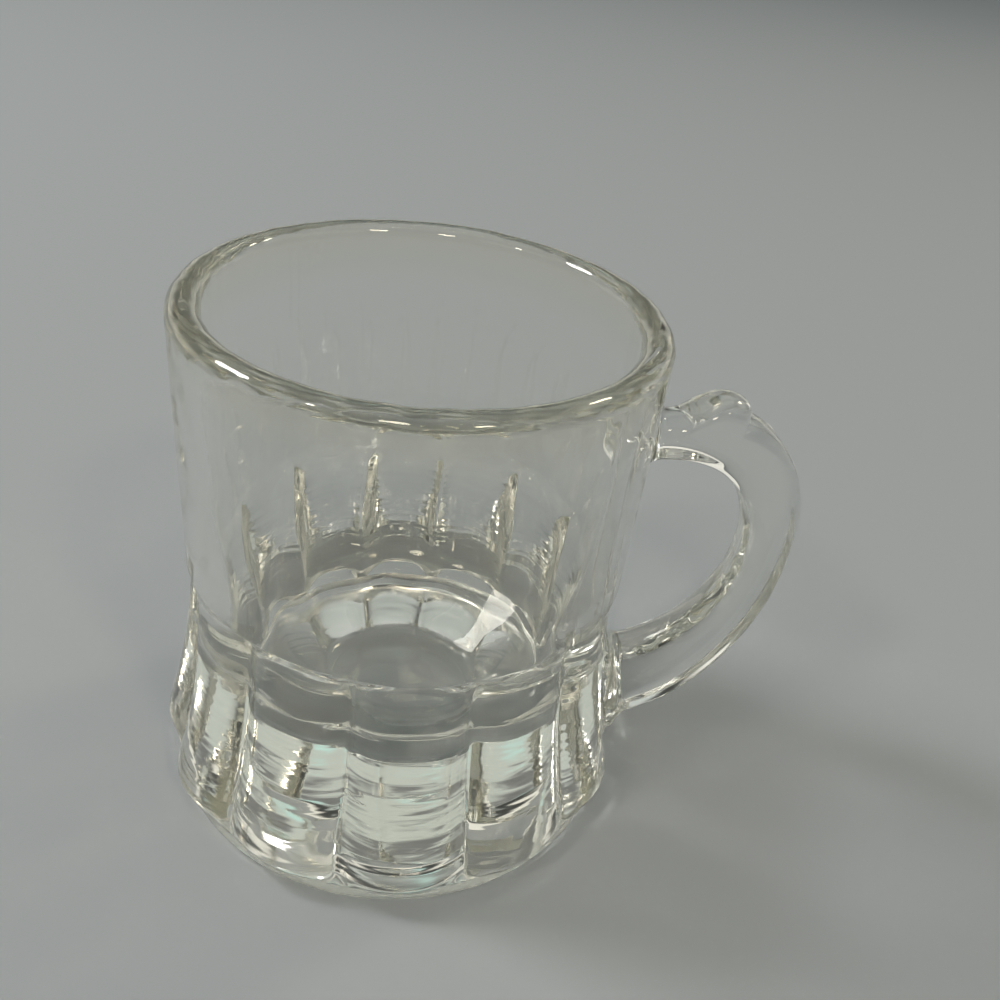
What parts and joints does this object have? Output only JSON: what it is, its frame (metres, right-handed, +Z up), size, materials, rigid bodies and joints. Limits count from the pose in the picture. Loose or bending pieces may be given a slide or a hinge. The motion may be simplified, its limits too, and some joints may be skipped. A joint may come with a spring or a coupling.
{
  "type": "beer mug shot glass",
  "caption": "Miniature beer mug of clear pressed glass for a single shot: plain barrel with a thick rounded rim, heavy flared base of convex petals, loop handle with thumb rest.",
  "frame": {"origin": "centre of the foot's flat underside, on the axis of the cup", "axes": "+Z up along the axis of the cup, +X through the middle of the handle"},
  "size_m": [0.064, 0.049, 0.0508],
  "materials": {
    "clear_glass": "clear pressed soda-lime glass, fire polished"
  },
  "bodies": {
    "root": {"barrel": "clear_glass", "fluted_base": "clear_glass", "foot": "clear_glass", "handle": "clear_glass", "thumb_rest": "clear_glass"}
  },
  "joints": []
}
